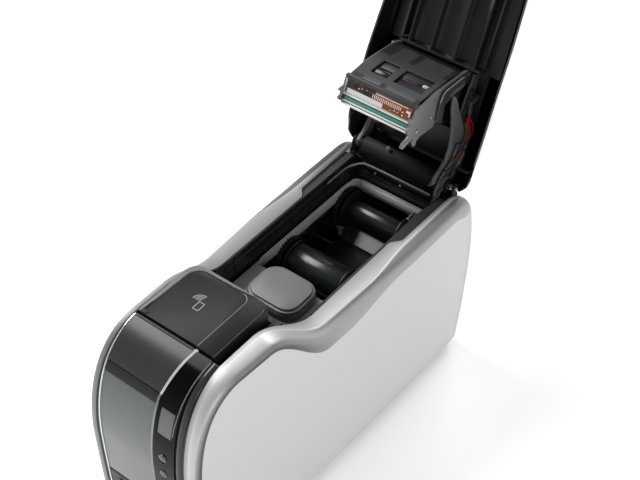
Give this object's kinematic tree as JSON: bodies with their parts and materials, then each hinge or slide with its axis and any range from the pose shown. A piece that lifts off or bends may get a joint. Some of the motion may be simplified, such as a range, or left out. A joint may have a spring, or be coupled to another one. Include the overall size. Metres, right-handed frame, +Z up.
{
  "type": "id card printer",
  "caption": "Tall narrow desktop card printer with curved front, silver side shells, rear-hinged top cover, thermal head and lift-out ribbon cartridge.",
  "frame": {"origin": "on the surface the printer stands on, under the middle of the body", "axes": "+Z up, -Y towards the curved front with the card feeder, +X towards the side with the display column"},
  "size_m": [0.16, 0.5428, 0.4559],
  "materials": {
    "silver_shell": "satin",
    "black_plastic": "satin",
    "black_gloss": "gloss",
    "dark_grey_plastic": "satin",
    "mid_grey_plastic": "satin",
    "light_grey_plastic": "satin",
    "bright_trim": "polished",
    "steel": "brushed",
    "aluminium": "bare",
    "black_rubber": "matt",
    "blue_rubber": "matt",
    "white_gear": "satin",
    "smoked_panel": "gloss",
    "screen": "gloss",
    "circuit_green": "satin",
    "ceramic": "gloss",
    "amber_film": "gloss",
    "ribbon": "gloss"
  },
  "bodies": {
    "housing": {"base_tray": "black_plastic", "rubber_feet": "black_rubber", "right_side_shell": "silver_shell", "left_side_shell": "silver_shell", "rear_panel": "black_plastic", "front_panel": "black_plastic", "feeder_cover": "dark_grey_plastic", "trim_strips": "bright_trim", "display_column": "black_gloss", "display_screen": "screen", "front_window": "smoked_panel", "door_pin": "steel", "left_chassis_plate": "black_plastic", "right_chassis_plate": "black_plastic", "bay_front_wall": "black_plastic", "bay_rear_block": "black_plastic", "roller_platform": "dark_grey_plastic", "bay_cowls": "black_plastic", "card_guides": "dark_grey_plastic", "card_hopper": "black_plastic", "output_tray": "black_plastic", "hinge_pins": "steel", "drive_motor": "dark_grey_plastic", "drive_belt": "black_rubber", "main_board": "circuit_green", "power_inlet": "black_plastic", "data_ports": "steel", "chassis_screws": "steel"},
    "cover": {"cover_shell": "black_plastic", "cover_liner": "black_plastic", "right_hinge_arm": "dark_grey_plastic", "left_hinge_arm": "dark_grey_plastic", "head_cable": "black_plastic"},
    "cover_lock": {"cover_lock_slide": "dark_grey_plastic"},
    "print_head": {"head_carrier": "mid_grey_plastic", "head_side_plates": "mid_grey_plastic", "head_ceramic": "ceramic", "head_heat_sink": "aluminium", "head_flex_circuit": "amber_film", "head_rods": "steel"},
    "cartridge": {"cartridge_frame": "light_grey_plastic", "cartridge_handle": "light_grey_plastic", "ribbon_film": "ribbon"},
    "supply_spool": {"supply_core": "black_plastic", "supply_roll": "ribbon"},
    "takeup_spool": {"takeup_core": "black_plastic", "takeup_roll": "ribbon"},
    "supply_drive": {"supply_gear": "white_gear"},
    "takeup_drive": {"takeup_gear": "white_gear"},
    "platen": {"platen_shaft": "steel", "platen_rubber": "black_rubber"},
    "feed_roll": {"feed_roller": "black_rubber"},
    "transport_roll": {"transport_roller": "black_rubber"},
    "cleaning_roll": {"cleaning_roller": "blue_rubber"},
    "pulley": {"motor_pulley": "steel"},
    "feed_door": {"feeder_door": "dark_grey_plastic"},
    "pusher": {"card_pusher": "mid_grey_plastic"},
    "power_key": {"power_button": "mid_grey_plastic"},
    "menu_button": {"menu_key": "dark_grey_plastic"},
    "select_button": {"select_key": "dark_grey_plastic"}
  },
  "joints": [
    {"name": "cover_hinge", "type": "hinge", "parent": "housing", "child": "cover", "pos_m": [0, 0.212, 0.223], "axis": [-1, 0, 0], "range_deg": [-114, 0]},
    {"name": "cover_lock_slide", "type": "slide", "parent": "cover", "child": "cover_lock", "axis": [0, 0.4067, 0.9135], "range_m": [0, 0.004]},
    {"name": "head_float", "type": "hinge", "parent": "cover", "child": "print_head", "pos_m": [0, 0.25948, 0.32227], "axis": [1, 0, 0], "range_deg": [0, 2]},
    {"name": "cartridge_lift", "type": "slide", "parent": "housing", "child": "cartridge", "axis": [0, 0, 1], "range_m": [0, 0.09]},
    {"name": "supply_spin", "type": "hinge", "parent": "cartridge", "child": "supply_spool", "pos_m": [0, 0.08, 0.163], "axis": [1, 0, 0], "continuous": true},
    {"name": "takeup_spin", "type": "hinge", "parent": "cartridge", "child": "takeup_spool", "pos_m": [0, 0.176, 0.163], "axis": [1, 0, 0], "continuous": true},
    {"name": "supply_gear_spin", "type": "hinge", "parent": "housing", "child": "supply_drive", "pos_m": [0, 0.08, 0.13163], "axis": [1, 0, 0], "continuous": true},
    {"name": "takeup_gear_spin", "type": "hinge", "parent": "housing", "child": "takeup_drive", "pos_m": [0, 0.176, 0.13163], "axis": [1, 0, 0], "continuous": true},
    {"name": "platen_spin", "type": "hinge", "parent": "housing", "child": "platen", "pos_m": [0, 0.147, 0.131], "axis": [1, 0, 0], "continuous": true},
    {"name": "feed_spin", "type": "hinge", "parent": "housing", "child": "feed_roll", "pos_m": [0, -0.01, 0.131], "axis": [1, 0, 0], "continuous": true},
    {"name": "transport_spin", "type": "hinge", "parent": "housing", "child": "transport_roll", "pos_m": [0, 0.112, 0.131], "axis": [1, 0, 0], "continuous": true},
    {"name": "cleaning_spin", "type": "hinge", "parent": "housing", "child": "cleaning_roll", "pos_m": [0, -0.01, 0.147], "axis": [1, 0, 0], "continuous": true},
    {"name": "motor_spin", "type": "hinge", "parent": "housing", "child": "pulley", "pos_m": [0, 0.06, 0.08], "axis": [1, 0, 0], "continuous": true},
    {"name": "feeder_door_hinge", "type": "hinge", "parent": "housing", "child": "feed_door", "pos_m": [0, -0.1312, 0.254], "axis": [-1, 0, 0], "range_deg": [0, 70]},
    {"name": "card_pusher_slide", "type": "slide", "parent": "housing", "child": "pusher", "axis": [0, 0, 1], "range_m": [0, 0.06]},
    {"name": "power_press", "type": "slide", "parent": "housing", "child": "power_key", "axis": [0, 1, 0], "range_m": [0, 0.0012], "stiffness_N_per_m": 300, "springref_m": -0.002},
    {"name": "menu_press", "type": "slide", "parent": "housing", "child": "menu_button", "axis": [0, 1, 0], "range_m": [0, 0.0012], "stiffness_N_per_m": 300, "springref_m": -0.002},
    {"name": "select_press", "type": "slide", "parent": "housing", "child": "select_button", "axis": [0, 1, 0], "range_m": [0, 0.0012], "stiffness_N_per_m": 300, "springref_m": -0.002}
  ],
  "couplings": [
    {"joint": "supply_gear_spin", "follows": "supply_spin", "ratio": -2.125},
    {"joint": "takeup_gear_spin", "follows": "takeup_spin", "ratio": -2.125},
    {"joint": "feed_spin", "follows": "platen_spin", "ratio": 1},
    {"joint": "transport_spin", "follows": "platen_spin", "ratio": 1},
    {"joint": "motor_spin", "follows": "platen_spin", "ratio": 1.5},
    {"joint": "cleaning_spin", "follows": "platen_spin", "ratio": -1.1111}
  ]
}
